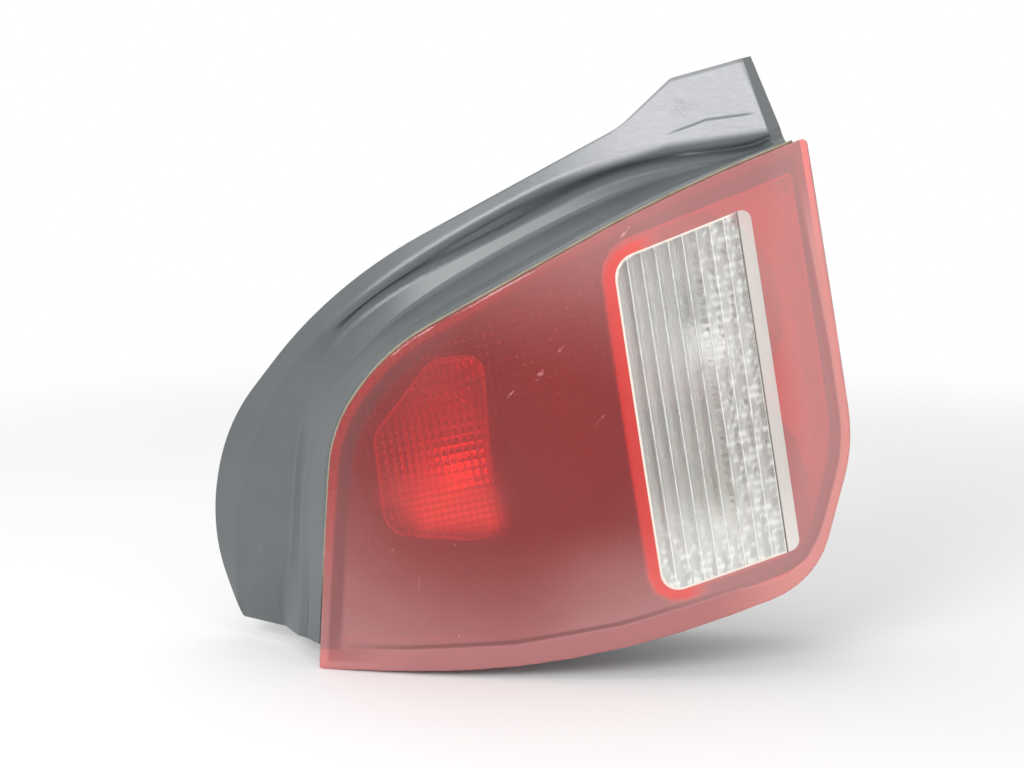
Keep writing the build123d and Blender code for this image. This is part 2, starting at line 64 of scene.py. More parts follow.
class Wire:  # one socket of a node tree, with sums written as Python
    def __init__(self, tree, socket=None):
        self.tree = tree
        self.socket = socket

    def add(self, kind, settings=None, inputs=None, out=0):
        node = self.tree.nodes.new("ShaderNode" + kind)
        for key, value in (settings or {}).items():
            setattr(node, key, value)
        for key, value in (inputs or {}).items():
            if isinstance(value, Wire):
                self.tree.links.new(value.socket, node.inputs[key])
            else:
                node.inputs[key].default_value = value
        return Wire(self.tree, node.outputs[out] if node.outputs else None)

    def sum(self, operation, first, second):
        return self.add("Math", {"operation": operation}, {0: first, 1: second})

    def __add__(self, other):
        return self.sum("ADD", self, other)

    def __radd__(self, other):
        return self.sum("ADD", other, self)

    def __sub__(self, other):
        return self.sum("SUBTRACT", self, other)

    def __rsub__(self, other):
        return self.sum("SUBTRACT", other, self)

    def __mul__(self, other):
        return self.sum("MULTIPLY", self, other)

    def __truediv__(self, other):
        return self.sum("DIVIDE", self, other)

    def __pow__(self, other):
        return self.sum("POWER", self, other)

    def most(self, other):
        return self.sum("MAXIMUM", self, other)

    def least(self, other):
        return self.sum("MINIMUM", self, other)

    def size(self):
        return self.sum("ABSOLUTE", self, 0.0)

    def wave(self, pitch):  # -1 to 1 and back, once each pitch
        return self.sum("SINE", self * (2 * math.pi / pitch), 0.0)

    def rise(self, low, high):  # 0 below low, 1 above high, smooth between
        return self.add("MapRange", {"interpolation_type": "SMOOTHSTEP"},
                        {"Value": self, "From Min": low, "From Max": high})

    def fall(self, low, high):
        return 1 - self.rise(low, high)

    def noise(self, scale, detail=2.0, roughness=0.5):
        return self.add("TexNoise", {}, {"Vector": self, "Scale": scale, "Detail": detail,
                                         "Roughness": roughness})

    def stretch(self, scale, turn=(0, 0, 0)):
        return self.add("Mapping", {}, {"Vector": self, "Scale": scale, "Rotation": turn})

    def along(self, points):  # height of a line through (place, height) points, straight between them
        height = points[0][1]
        for (x1, z1), (x2, z2) in zip(points, points[1:]):
            height = height + self.add("MapRange", {}, {"Value": self, "From Min": x1, "From Max": x2,
                                                        "To Max": z2 - z1})
        return height

    def tint(self, first, second):  # first where this is 0, second where it is 1
        return self.add("Mix", {"data_type": "RGBA"}, {0: self, 6: first, 7: second}, out=2)

    def bump(self, strength, distance):
        return self.add("Bump", {}, {"Height": self, "Strength": strength, "Distance": distance})

    def axes(self):
        node = self.add("SeparateXYZ", {}, {"Vector": self}).socket.node
        return [Wire(self.tree, node.outputs[i]) for i in range(3)]


def newFinish(name):  # an empty material, and the place on the piece
    finish = bpy.data.materials.new(name)
    finish.use_nodes = True
    finish.node_tree.nodes.clear()
    start = Wire(finish.node_tree)
    return finish, start.add("TexCoord", out="Object")


def closeFinish(finish, shader):
    shader.add("OutputMaterial", {}, {"Surface": shader})
    return finish


def dress(finish, *names):  # puts a finish on CAD nodes
    for name in names:
        nodes[name].data.materials.clear()
        nodes[name].data.materials.append(finish)


lensShape = {"sweep": 0.65, "rise": 1.0, "reach": 0.092, "apex": (-0.03, -0.115)}  # barrel face
leastRadius = 0.6 * mm  # at the corners of an outline drawn in


def lensY(x, z, depth=0.0):  # y of the lens face moved into the lamp by depth, for numbers and for wires
    across, up = x - lensShape["apex"][0], z - lensShape["apex"][1]
    reach = ((lensShape["rise"] - depth) ** 2 - up * up) ** 0.5 + (lensShape["sweep"] - lensShape["rise"])
    return (lensShape["sweep"] - lensShape["reach"]) - (reach * reach - across * across) ** 0.5


def scaled(rows):  # outline rows in mm, as metres
    return [tuple(value * mm for value in row) for row in rows]


def rounded(corners, steps=6):  # points of a clockwise outline with its own radius at each corner
    points = []
    for i, (x, z, radius) in enumerate(corners):
        here = Vector((x, z))
        back = (Vector(corners[i - 1][:2]) - here).normalized()
        ahead = (Vector(corners[(i + 1) % len(corners)][:2]) - here).normalized()
        half = back.angle(ahead) / 2
        centre = here + (back + ahead).normalized() * radius / math.sin(half)
        first = here + back * radius / math.tan(half) - centre
        for step in range(steps + 1):
            turn = (2 * half - math.pi) * step / steps
            points.append(centre + Matrix.Rotation(turn, 2) @ first)
    return points


def inset(corners, distances):  # corners of an outline with each side drawn in by its own distance
    lines = []
    for i, (x, z, radius) in enumerate(corners):
        ahead = (Vector(corners[(i + 1) % len(corners)][:2]) - Vector((x, z))).normalized()
        lines.append((Vector((x, z)) + Vector((ahead.y, -ahead.x)) * distances[i], ahead))
    moved = []
    for i, (x, z, radius) in enumerate(corners):
        (first, way), (second, other) = lines[i - 1], lines[i]
        travel = (second - first).cross(other) / way.cross(other)
        corner = first + way * travel
        moved.append((corner.x, corner.y, max(radius - max(distances[i - 1], distances[i]), leastRadius)))
    return moved


redLens = {
    "outline": scaled([(-106, -185, 1.5), (-96, -51, 79), (-66.5, -9, 115), (81, 74, 800),
                       (150.5, 101.5, 3), (179.5, -59, 90), (162, -134, 45), (34.5, -179.5, 575)]),
    "window": scaled([(80.5, -138, 10), (51, 38.5, 13), (121, 66, 5), (152.5, -114, 6)]),
    "rim": [2.5 * mm] * 4 + [6 * mm] * 2 + [13 * mm] * 2, "wall": 3 * mm,
    "tongue": (3.1 * mm, 4.7 * mm), "tongueDepth": (3.05 * mm, 7 * mm),
    "edgeSteps": scaled([(0, 0.9), (0.6, 0.3), (1.6, 0)]),  # how far in, and how far back the edge goes
    "plainBorder": 6 * mm, "windowBorder": 4 * mm, "windowReach": 6 * mm, "stopMargin": -1 * mm,
    "columns": 100, "rows": 120, "shift": 0.06,  # sheet of cells before it is cut
    "columnPitch": 3.7 * mm, "rowPitch": (4.7 * mm, 3.0 * mm), "columnLean": 9.7, "rowLean": 13.0,
    "stopMouth": scaled([(-66, -106, 12), (-72.5, -54, 12), (-42, -14, 12), (-17, -11, 8), (-8, -108, 12)]),
    "lowShare": 0.4,  # height of the cushions away from the stop lamp
    "split": (-0.043, -0.114),  # point on the line between coarse and fine rows
    "cushion": ((0.14, 0.13), (0.14, 0.08), (0.13, 0.04)),  # steps in and up, as shares of the pitch
    "wholeCell": 0.93, "sharpAngle": 1.0,  # least share of a cell that gets a cushion, angle left sharp
    "weld": 0.01 * mm, "slack": 0.05 * mm,
}

housingLook = {
    "deep": paint(78, 84, 86), "worn": paint(100, 105, 107), "fadedWithSheen": paint(187, 188, 192),
    "roughness": 0.33, "grainScale": 1600, "grainDepth": 0.05 * mm,
    "fold": scaled([(-163, -108), (-143.5, -50), (-106, -3), (-50, 40), (14, 75), (78, 95.6),
                    (131, 103.6)]),
    "foldEdge": (-0.001, 0.004), "fadeSheenStart": (-0.12, 0.0), "fadeSheenFull": (-0.01, 0.075),  # soft limits; the lighter plate above the fold is part real fading, part painted sheen
    "hornEnd": (0.1242, 0.1235, 0.9485, 0.317),  # point on the plate's outboard edge, and its normal
    "hornEdge": (-0.0005, 0.0005),
    "gouge": scaled([(77.8, 102.9), (91.2, 107.7), (98.1, 110.4), (125.8, 114.1)]),
    "gougeWidth": (0.0003, 0.0011), "gougeStart": (0.075, 0.085), "gougeEnd": (0.118, 0.126),
    "rubbed": (0.0851, 0.1173), "rubbedReach": (0.004, 0.014),  # hatched scuff on the horn
    "brim": scaled([(-40, 56.4), (48, 104.3), (58, 112), (78.9, 131.7), (140, 148.7)]),
    "brimWidth": (0.0005, 0.0016),
}


def housingFinish():
    look = housingLook
    finish, place = newFinish("blackMoulding")
    x, y, z = place.axes()
    mottle = place.noise(9, 3, 0.5).rise(0.3, 0.7)
    dust = place.noise(260, 4, 0.7).rise(0.5, 0.8)
    base = (mottle * 0.6 + dust * 0.4).tint(look["deep"], look["worn"])
    px, pz, nx, nz = look["hornEnd"]
    plate = (z - x.along(look["fold"])).rise(*look["foldEdge"])
    plate = plate * ((x - px) * nx + (z - pz) * nz).fall(*look["hornEdge"])
    # lighter plate above the fold: part real fading of the plastic, part painted sheen of light grazing its
    # upward face
    fade = plate * (x.rise(*look["fadeSheenStart"]) * 0.25 + x.rise(*look["fadeSheenFull"]) * 0.75)
    fade = fade * (1 - (x.along(look["brim"]) - z).fall(*look["brimWidth"]) * 0.6)  # dark at the very edge
    scuff = place.stretch((60, 60, 300), (0, 0.25, 0)).noise(3, 5, 0.7).rise(0.35, 0.8)
    base = (fade * (0.78 + scuff * 0.22)).tint(base, look["fadedWithSheen"])
    gouge = (z - x.along(look["gouge"])).size().fall(*look["gougeWidth"])
    gouge = gouge * x.rise(*look["gougeStart"]) * x.fall(*look["gougeEnd"])
    hatch = place.stretch((700, 700, 120), (0, 0.9, 0)).noise(2, 2, 0.6).rise(0.5, 0.62)
    near = ((x - look["rubbed"][0]).size() + (z - look["rubbed"][1]).size() * 2).fall(*look["rubbedReach"])
    marks = (gouge * 0.8 + hatch * near * 0.45).least(1.0)
    base = marks.tint(base, look["deep"])
    grain = place.noise(look["grainScale"], 2, 0.6)
    rough = look["roughness"] + (mottle - 0.5) * 0.06 + dust * 0.05 + fade * 0.06
    shader = place.add("BsdfPrincipled", {}, {
        "Base Color": base, "Roughness": rough, "Specular IOR Level": 0.8,
        "Normal": grain.bump(0.3, look["grainDepth"])})
    return closeFinish(finish, shader)


clearLook = {
    "glass": (0.96, 0.965, 0.95, 1), "haze": paint(248, 249, 245), "flat": paint(250, 244, 238),
    "shade": paint(118, 110, 104), "ior": 1.49, "roughness": (0.03, 0.28), "back": (2 * mm, 2.6 * mm),
    "middle": (0.10125, -0.036875), "lean": math.radians(9.7),
    "flutePitch": 7.4 * mm, "fluteStart": 7.2 * mm, "ridgeHighlight": (-0.99, -0.95),
    "side": (0.121, 0.066, 0.985, 0.1724),  # point on the outboard side, and its normal
    "strip": 7 * mm, "stripEdge": (-0.0002, 0.0002), "stripLine": (0.0002, 0.0007),  # plain strip
    "rowPitch": 4.6 * mm, "rowDepth": 0.3 * mm, "rowStart": (-0.004, 0.006),
    "joint": (0.8 * mm, 1.5 * mm), "jointEnd": (0.02, 0.032), "jointColour": paint(246, 236, 224),
    "clearSide": (-0.006, 0.008), "clearLow": (-0.05, -0.02),  # where the flutes blur less
    "livelySide": (0.0, 0.014), "livelyLow": (-0.085, -0.045), "paleLow": (-0.09, -0.03),  # glints and haze
}


def fluteAxes(x, z):  # places across and along the leaning flutes, from the window's middle
    dx, dz = x - clearLook["middle"][0], z - clearLook["middle"][1]
    lean = clearLook["lean"]
    return dx * math.cos(lean) + dz * math.sin(lean), dz * math.cos(lean) - dx * math.sin(lean)


redLook = {
    # film: pink haze of weathering plus painted reflection of white surroundings
    "glass": (0.97, 0.11, 0.09, 1), "body": (0.66, 0.045, 0.05, 1), "film": (0.9, 0.47, 0.46, 1),
    # rim colours: free rim pink with painted backlight, lighter outboard; the last colour on this line is
    # painted shade
    "rim": (0.46, 0.18, 0.18, 1), "backlitSideRim": (0.74, 0.31, 0.29, 1), "paintedShade": (0.3, 0.1, 0.1, 1),
    "paintedGlow": (0.98, 0.062, 0.047, 1),  # painted glow: brightest red, in front of the stop lamp, standing in for the bright reflector behind the lens
    "patch": scaled([(-46, -106, 8), (-72, -89, 8), (-61, -36, 10), (-45, -17, 8), (-17, -17, 8),
                     (-1, -104, 8)]),
    "patchEdge": (-0.006, 0.011), "patchUp": (-0.094, -0.058), "patchSide": (-0.062, -0.042),
    "patchRow": 3.6 * mm, "patchColumn": 3.7 * mm,
    "border": (4 * mm, 8.5 * mm), "borderEnd": (-26 * mm, -8 * mm),  # painted glow: bright strip inboard of the window
    "ior": 1.49, "roughness": 0.06, "skin": 1.2 * mm,
    "cleanSpot": (0.0, -0.06), "cleanReach": (0.045, 0.17),  # spot with the least film, weathering plus painted reflection haze, in x and z
    # sideSheen: painted reflection, more pink film on the outboard side that wraps round
    "sideSheen": (0.12, 0.16), "lowFilm": (-0.13, -0.09), "lowFilmStart": (0.0, 0.05),
    "freeEdge": (0.06, 0.13),  # along the outboard and lower edges, which overhang the housing
    "frameLine": (0.0015, 0.0006, 0.002), "frameFade": (0.05, 0.13),  # painted shade: dark line inside the free rim
    # band: painted shade just inside the inboard edge
    "bandStart": (0.0035, 0.006), "bandEnd": (0.0105, 0.014), "bandReach": (-0.08, 0.0),
    # where the painted backlight on the free rim turns lighter
    "sideRimStart": (0.1, 0.16),
    "marks": scaled([(14.7, -19.8, 5, 1.6), (-29.5, -110.6, 1.2, 1.2), (-62.9, -115.1, 1.2, 1.2),
                     (57.2, 53.3, 5, 1.0), (24.8, -6.9, 4, 0.7), (-0.8, -30.3, 4, 0.7),
                     (45.9, -43.1, 4, 0.7)]),  # rubbed spots: x, z, half length and half width
    "markTurn": 0.9, "overhang": ((0.12, 0.0125), (0.165, 0.005)),  # width of the free rim, by x
    "overhangEdge": (-0.001, 0.001),
}


def edgeDistance(x, z, corners):  # how far a place lies inside a convex outline
    points = rounded(corners, 3)
    nearest = None
    for i, here in enumerate(points):
        along = points[(i + 1) % len(points)] - here
        if along.length > 1e-6:
            along.normalize()
            inward = x * along.y - z * along.x - (here.x * along.y - here.y * along.x)
            nearest = nearest.least(inward) if nearest else inward
    return nearest


def rubbedSpots(x, z, marks, turn):  # leaning oval spots, 1 in their middles
    total = 0.0
    for px, pz, length, width in marks:
        along = ((x - px) * math.cos(turn) + (z - pz) * math.sin(turn)) / length
        across = ((z - pz) * math.cos(turn) - (x - px) * math.sin(turn)) / width
        total = total + (along * along + across * across).fall(0.2, 1.0)
    return total


def redFinish():
    look = redLook
    finish, place = newFinish("redAcrylic")
    x, y, z = place.axes()
    outside = (y - lensY(x, z)).fall(0.5 * look["skin"], look["skin"])
    edge = edgeDistance(x, z, redLens["outline"])
    cloud = place.noise(12, 4, 0.6)
    scratch = place.stretch((900, 900, 60), (0, 0.6, 0)).noise(1, 2, 0.5).rise(0.72, 0.8)
    scratch = scratch * place.noise(30, 2).rise(0.52, 0.66)
    specks = place.noise(700, 1).rise(0.79, 0.83)
    spots = rubbedSpots(x, z, look["marks"], look["markTurn"]) * place.noise(500, 3, 0.7).rise(0.4, 0.65)
    across, up = x - look["cleanSpot"][0], z - look["cleanSpot"][1]
    away = (across * across * 0.8 + up * up * 1.7) ** 0.5
    # film mask: weathering plus painted reflection haze, growing away from the clean spot
    weatherAndSheen = away.rise(*look["cleanReach"]) * 0.85 + (cloud - 0.5) * 0.3
    lowFilm = z.fall(*look["lowFilm"]) * x.rise(*look["lowFilmStart"])
    weatherAndSheen = (weatherAndSheen + x.rise(*look["sideSheen"]) * 0.3 + lowFilm * 0.3).most(0.0).least(1.0)
    free = (x - z).rise(*look["freeEdge"])
    # overhang: free rim, coloured with painted backlight
    overhang = free * (edge - x.along(look["overhang"])).fall(*look["overhangEdge"])
    gap, thin, wide = look["frameLine"]
    line = free * (edge - x.along(look["overhang"]) - gap).size().fall(thin, wide)
    line = line * (0.75 - x.rise(*look["frameFade"]) * 0.62)
    band = (1 - free) * edge.rise(*look["bandStart"]) * edge.fall(*look["bandEnd"])
    band = band * x.fall(*look["bandReach"])
    # painted shade: dark line inside the free rim and band inside the inboard edge
    paintedShade = (line + band * 0.75).least(1.0)
    # painted glow: stop reflector seen bright through the lens, stronger low and outboard
    stop = edgeDistance(x, z, look["patch"]).rise(*look["patchEdge"])
    stop = stop * (0.14 + z.fall(*look["patchUp"]) * 0.86) * (0.55 + x.rise(*look["patchSide"]) * 0.45)
    lean = math.radians(redLens["rowLean"])
    rows = (z * math.cos(lean) - x * math.sin(lean)).wave(look["patchRow"])
    columns = fluteAxes(x, z)[0].wave(look["patchColumn"])
    stop = stop * (0.86 + (rows * 0.1 + columns * 0.06))
    beside = 0 - edgeDistance(x, z, redLens["window"])
    # painted glow: bright strip beside the window
    border = beside.fall(*look["border"]) * fluteAxes(x, z)[0].fall(*look["borderEnd"])
    paintedGlow = stop.most(border * 0.75)
    glass = place.add("BsdfPrincipled", {}, {
        "Base Color": look["glass"], "Roughness": look["roughness"] + scratch * 0.25,
        "IOR": look["ior"], "Transmission Weight": 1.0})
    # worn: wear marks plus the painted reflection haze
    worn = (weatherAndSheen * 0.9 + scratch * 0.4 + specks * 0.6 + spots * 0.7).least(1.0)
    # rim colours: painted backlight through the free rim, lighter outboard
    rim = x.rise(*look["sideRimStart"]).tint(look["rim"], look["backlitSideRim"])
    colour = paintedGlow.tint(overhang.tint(worn.tint(look["body"], look["film"]), rim), look["paintedGlow"])
    body = place.add("BsdfPrincipled", {}, {"Base Color": paintedShade.tint(colour, look["paintedShade"]),
                                            "Roughness": 0.28})
    share = 0.25 + paintedGlow * 0.45 + weatherAndSheen * 0.22 + scratch * 0.15 + specks * 0.2 + spots * 0.4
    share = share + overhang * 0.5 + paintedShade * 0.15
    mixed = place.add("MixShader", {}, {0: share.least(0.9) * outside, 1: glass, 2: body})
    return closeFinish(finish, mixed)


def clearFinish():
    look = clearLook
    finish, place = newFinish("clearAcrylic")
    x, y, z = place.axes()
    across, along = fluteAxes(x, z)
    px, pz, nx, nz = look["side"]
    beside = (x - px) * nx + (z - pz) * nz + look["strip"]
    flat = beside.rise(*look["stripEdge"])
    line = beside.size().fall(*look["stripLine"])
    # painted highlight: bright line along the crest of each flute
    ridgeHighlight = (across + look["fluteStart"] - look["flutePitch"] / 4).wave(look["flutePitch"])
    ridgeHighlight = ridgeHighlight.fall(*look["ridgeHighlight"]) * (1 - flat) * place.noise(90, 3).rise(0.2, 0.5)
    joint = edgeDistance(x, z, redLens["window"]).fall(*look["joint"]) * across.fall(*look["jointEnd"])
    back = (y - lensY(x, z)).rise(*look["back"])
    scratch = place.stretch((700, 700, 50), (0, 0.5, 0)).noise(1, 2, 0.5).rise(0.7, 0.8)
    rows = along.wave(look["rowPitch"]) * back * across.rise(*look["rowStart"]) * (1 - flat)
    clear = across.rise(*look["clearSide"]).most(along.fall(*look["clearLow"]))
    smooth, rough = look["roughness"]
    blur = smooth + back * (rough - smooth) * (1 - clear * 0.8) + scratch * 0.1
    glass = place.add("BsdfPrincipled", {}, {
        "Base Color": look["glass"], "Roughness": blur, "IOR": look["ior"], "Transmission Weight": 1.0,
        "Normal": rows.bump(1.0, look["rowDepth"])})
    colour = joint.tint(line.tint(flat.tint(look["haze"], look["flat"]), look["shade"]), look["jointColour"])
    haze = place.add("BsdfPrincipled", {}, {"Base Color": colour, "Roughness": 0.35})
    lively = across.rise(*look["livelySide"]).most(along.fall(*look["livelyLow"])) * (1 - flat)
    glint = place.stretch((300, 300, 140), (0, look["lean"], 0)).noise(1, 1, 0.5).rise(0.42, 0.66) * lively
    glint = glint * (0.7 + along.wave(look["rowPitch"]) * 0.3)
    # painted shade: lighter and darker side across each flute
    paintedFluteShade = (across + look["fluteStart"]).wave(look["flutePitch"]) * (1 - flat)
    share = 0.2 + paintedFluteShade * 0.07 + scratch * 0.08 + ridgeHighlight * 0.5 + flat * 0.35
    share = share + lively * 0.06 + glint * 0.4 + along.fall(*look["paleLow"]) * 0.24
    share = share + line * 0.3 + joint * 0.7
    mixed = place.add("MixShader", {}, {0: share.least(0.9), 1: glass, 2: haze})
    return closeFinish(finish, mixed)


sealLook = {
    "clean": paint(158, 149, 128), "dusty": paint(140, 131, 112), "sealShade": paint(58, 46, 42),
    "lowShade": (-0.15, -0.12), "outerShade": (0.1, 0.15), "outerLow": (-0.13, -0.08),  # lower side
}


def sealFinish():
    look = sealLook
    finish, place = newFinish("paleSeal")
    x, y, z = place.axes()
    dirt = place.noise(120, 4, 0.6).rise(0.4, 0.7)
    base = dirt.tint(look["clean"], look["dusty"])
    # painted shade: darker along the bottom and the lower outboard side
    low = z.fall(*look["lowShade"]).most((x - z).rise(*look["outerShade"]) * z.fall(*look["outerLow"]))
    base = low.tint(base, look["sealShade"])
    grain = place.noise(900, 2)
    shader = place.add("BsdfPrincipled", {}, {"Base Color": base, "Roughness": 0.55 + dirt * 0.2,
                                              "Normal": grain.bump(0.3, 0.0001)})
    return closeFinish(finish, shader)


mirrorLook = {
    "clean": (0.96, 0.96, 0.955, 1), "cloudy": (0.91, 0.91, 0.905, 1),
    "rim": (5 * mm, 12 * mm), "bare": (0.4, 0.4, 0.4, 1),  # depth where the bare edge turns bright
    "stopGlow": (-0.027, -0.096, 0.045, 0.06),  # brightest part: x, z and its reach across and up
}


def mirrorFinish(name, metal, roughness, glow=None):
    finish, place = newFinish(name)
    x, y, z = place.axes()
    cloud = place.noise(60, 3).rise(0.3, 0.8)
    base = cloud.tint(mirrorLook["clean"], mirrorLook["cloudy"])
    if glow:
        across, up = (x - glow[0]) / glow[2], (z - glow[1]) / glow[3]
        spot = 0.7 + (across * across + up * up).fall(0.1, 1.0) * 0.3
        base = ((y - lensY(x, z)).rise(*mirrorLook["rim"]) * spot).tint(mirrorLook["bare"], base)
    ripple = place.noise(300, 2)
    shader = place.add("BsdfPrincipled", {}, {
        "Base Color": base, "Metallic": metal, "Roughness": roughness + cloud * 0.1,
        "Normal": ripple.bump(0.15, 0.0002)})
    return closeFinish(finish, shader)


def mouldedFinish(name, light, dark, roughness):
    finish, place = newFinish(name)
    mottle = place.noise(45, 4, 0.6).rise(0.3, 0.7)
    grain = place.noise(1300, 2)
    shader = place.add("BsdfPrincipled", {}, {
        "Base Color": mottle.tint(light, dark), "Roughness": roughness + mottle * 0.1,
        "Normal": grain.bump(0.3, 0.00006)})
    return closeFinish(finish, shader)


def foamFinish():
    finish, place = newFinish("closedCellFoam")
    cells = place.add("TexVoronoi", {}, {"Vector": place, "Scale": 900.0})
    base = cells.rise(0.1, 0.6).tint(paint(38, 38, 40), paint(62, 62, 64))
    shader = place.add("BsdfPrincipled", {}, {"Base Color": base, "Roughness": 0.85,
                                              "Normal": cells.bump(0.6, 0.0003)})
    return closeFinish(finish, shader)


def metalFinish(name, light, dark, roughness):
    finish, place = newFinish(name)
    stain = place.noise(160, 4, 0.6).rise(0.35, 0.75)
    brush = place.stretch((300, 30, 300)).noise(8, 3)
    shader = place.add("BsdfPrincipled", {}, {
        "Base Color": stain.tint(light, dark), "Metallic": 1.0,
        "Roughness": roughness + stain * 0.2 + brush * 0.08})
    return closeFinish(finish, shader)


def bulbFinish(name, colour):
    finish, place = newFinish(name)
    film = place.noise(90, 3).rise(0.4, 0.9)
    shader = place.add("BsdfPrincipled", {}, {
        "Base Color": film.tint(colour, tuple(c * 0.93 for c in colour[:3]) + (1,)),
        "Roughness": 0.02 + film * 0.05, "IOR": 1.5, "Transmission Weight": 1.0})
    return closeFinish(finish, shader)


dress(housingFinish(), "housing")
dress(clearFinish(), "clear_window")
paleSeal = sealFinish()
dress(paleSeal, "lens_seal")
dress(mirrorFinish("stopMirror", 1.0, 0.2, mirrorLook["stopGlow"]), "stop_reflector")
signalMirror = mirrorFinish("signalMirror", 0.85, 0.36)
dress(signalMirror, "signal_reflector")
dress(mouldedFinish("paleMoulding", paint(205, 204, 196), paint(188, 186, 176), 0.4), "bulb_holder")
dress(mouldedFinish("blackRubber", paint(40, 40, 41), paint(54, 54, 54), 0.6), "holder_gasket", "vent_cap")
dress(foamFinish(), "body_gasket")
brass = metalFinish("stampedBrass", paint(222, 190, 118), paint(178, 142, 82), 0.25)
dress(brass, *[name for name in nodes if name.endswith("_strip")])
nickel = metalFinish("nickelPlate", paint(222, 219, 212), paint(190, 186, 178), 0.25)
dress(nickel, *[name for name in nodes if name.endswith("_bulb_cap")])
dress(bulbFinish("clearBulb", (0.97, 0.98, 0.98, 1)), "stop_bulb_glass", "reverse_bulb_glass")
dress(bulbFinish("amberBulb", (0.98, 0.93, 0.8, 1)), "indicator_bulb_glass")
print("finishes on CAD nodes done")


def newPiece(name, form, finish, slot, *hidden):  # a piece from a bmesh, riding on the lamp
    mesh = bpy.data.meshes.new(name)
    form.to_mesh(mesh)
    form.free()
    mesh.materials.append(finish)
    piece = bpy.data.objects.new(name, mesh)
    bpy.context.scene.collection.objects.link(piece)
    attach(piece, "root")
    if hidden:
        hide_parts(*hidden)
    print(name, "made:", len(mesh.polygons), "faces")


def sideCuts(points):  # for each side of a clockwise outline: a point on it and its outward normal
    cuts = []
    for i, here in enumerate(points):
        along = points[(i + 1) % len(points)] - here
        if along.length > 1e-6:
            cuts.append((Vector((here.x, 0, here.y)), Vector((-along.y, 0, along.x)).normalized()))
    return cuts


def inside(place, cuts, margin=0.0):
    return all((place - point).dot(outward) < margin for point, outward in cuts)


def trim(form, cuts, clear, near=None):  # cuts a flat sheet along each side, or only faces near an outline
    for point, outward in cuts:
        faces = form.faces[:]
        if near:
            faces = [face for face in faces if inside(face.calc_center_median(), cuts, near)]
        parts = dict.fromkeys(part for face in faces for part in (*face.verts, *face.edges))
        bmesh.ops.bisect_plane(form, geom=faces + list(parts), plane_co=point, plane_no=outward,
                               clear_outer=clear)


def lensSheet(look, outline, window):  # flat sheet of leaning cells, cut to the lens outline
    lean, turn = math.radians(look["columnLean"]), math.radians(look["rowLean"])
    along = Vector((math.cos(turn), 0, math.sin(turn)))
    rise = Vector((-math.sin(lean), 0, math.cos(lean)))
    form = bmesh.new()
    bmesh.ops.create_grid(form, x_segments=look["columns"], y_segments=look["rows"], size=0.5)
    for vert in form.verts:
        column, row = round(vert.co.x * look["columns"]), round(vert.co.y * look["rows"])
        height = row * look["rowPitch"][0 if row > 0 else 1]
        vert.co = Vector((look["split"][0] + look["shift"], 0, look["split"][1]))
        vert.co += along * column * look["columnPitch"] + rise * height
    trim(form, sideCuts(outline), True)
    for reach, _ in look["edgeSteps"][1:]:
        trim(form, sideCuts(rounded(inset(look["outline"], [reach] * len(look["outline"])))), False)
    cuts = sideCuts(window)
    trim(form, cuts, False, look["windowReach"])
    hole = [face for face in form.faces if inside(face.calc_center_median(), cuts)]
    bmesh.ops.delete(form, geom=hole, context="FACES")
    bmesh.ops.remove_doubles(form, verts=form.verts, dist=look["weld"])
    for face in form.faces:
        face.normal_update()
        if face.normal.y > 0:
            face.normal_flip()
    return form


def addTongue(form, look):  # locating lip behind the lens, a closed ring
    loops = []
    for extra in look["tongue"]:
        line = rounded(inset(look["outline"], [rim + extra for rim in look["rim"]]))
        for depth in look["tongueDepth"]:
            ring = [form.verts.new((point.x, depth, point.y)) for point in line]
            loops.append([form.edges.new((ring[i - 1], vert)) for i, vert in enumerate(ring)])
    for first, second in ((0, 1), (1, 3), (3, 2), (2, 0)):
        bmesh.ops.bridge_loops(form, edges=loops[first] + loops[second])


